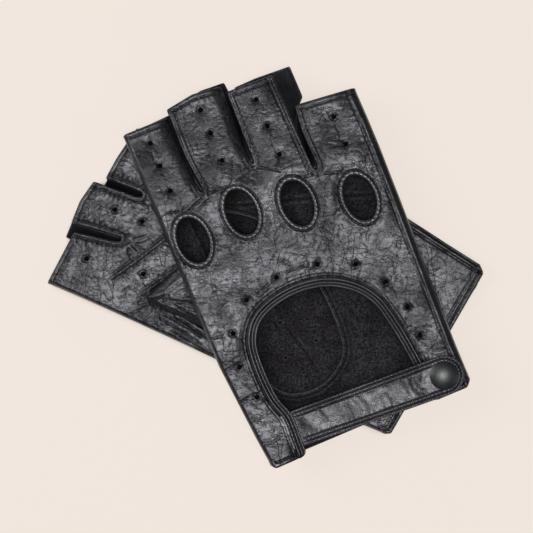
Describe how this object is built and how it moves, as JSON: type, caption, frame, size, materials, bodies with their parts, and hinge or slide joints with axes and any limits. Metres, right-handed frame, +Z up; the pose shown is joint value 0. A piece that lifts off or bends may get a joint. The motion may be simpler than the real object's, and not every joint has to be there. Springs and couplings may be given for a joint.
{
  "type": "fingerless driving gloves",
  "caption": "Crossed pair of fingerless leather driving gloves with bound knuckle holes, an open back and a snap strap at the wrist.",
  "frame": {"origin": "middle of the pair's box, on the surface it lies on", "axes": "+Z up; +X to the right and +Y away from someone who looks down on the crossed pair, with the right glove on top and its wrist nearest them"},
  "size_m": [0.1934, 0.1764, 0.0256],
  "materials": {
    "black_leather": "soft semi-matte glove leather with fine grain",
    "fourchette_leather": "matte",
    "binding_leather": "soft sheen, puckered by its stitches",
    "strap_lining_leather": "matte",
    "suede_inside": "napped flesh side",
    "thread": "waxed thread",
    "black_enamel": "matte black enamel",
    "nickel": "satin"
  },
  "bodies": {
    "left_glove": {"left_back_panel": "black_leather", "left_palm_panel": "black_leather", "left_fourchette_index_middle": "fourchette_leather", "left_fourchette_middle_ring": "fourchette_leather", "left_fourchette_ring_little": "fourchette_leather", "left_thumb_stall": "black_leather", "left_knuckle_binding_index": "binding_leather", "left_knuckle_binding_middle": "binding_leather", "left_knuckle_binding_ring": "binding_leather", "left_knuckle_binding_little": "binding_leather", "left_opening_binding": "binding_leather", "left_strap_root": "black_leather", "left_snap_stud": "nickel", "left_snap_post": "nickel"},
    "left_strap": {"left_strap_outer": "black_leather", "left_strap_lining": "strap_lining_leather", "left_snap_cap": "black_enamel", "left_snap_socket": "nickel"},
    "right_glove": {"right_back_panel": "black_leather", "right_palm_panel": "black_leather", "right_fourchette_index_middle": "fourchette_leather", "right_fourchette_middle_ring": "fourchette_leather", "right_fourchette_ring_little": "fourchette_leather", "right_thumb_stall": "black_leather", "right_knuckle_binding_index": "binding_leather", "right_knuckle_binding_middle": "binding_leather", "right_knuckle_binding_ring": "binding_leather", "right_knuckle_binding_little": "binding_leather", "right_opening_binding": "binding_leather", "right_strap_root": "black_leather", "right_snap_stud": "nickel", "right_snap_post": "nickel"},
    "right_strap": {"right_strap_outer": "black_leather", "right_strap_lining": "strap_lining_leather", "right_snap_cap": "black_enamel", "right_snap_socket": "nickel"}
  },
  "joints": [
    {"name": "right_glove_lift", "type": "slide", "parent": "left_glove", "child": "right_glove", "axis": [0, 0, 1], "range_m": [0, 0.08]},
    {"name": "right_strap_bend", "type": "hinge", "parent": "right_glove", "child": "right_strap", "pos_m": [0.01655, -0.06976, 0.0205], "axis": [0.3907, -0.9205, 0], "range_deg": [0, 120]},
    {"name": "left_strap_bend", "type": "hinge", "parent": "left_glove", "child": "left_strap", "pos_m": [0.05313, -0.05396, 0.0014], "axis": [-0.866, 0.5, 0], "range_deg": [0, 120]}
  ]
}
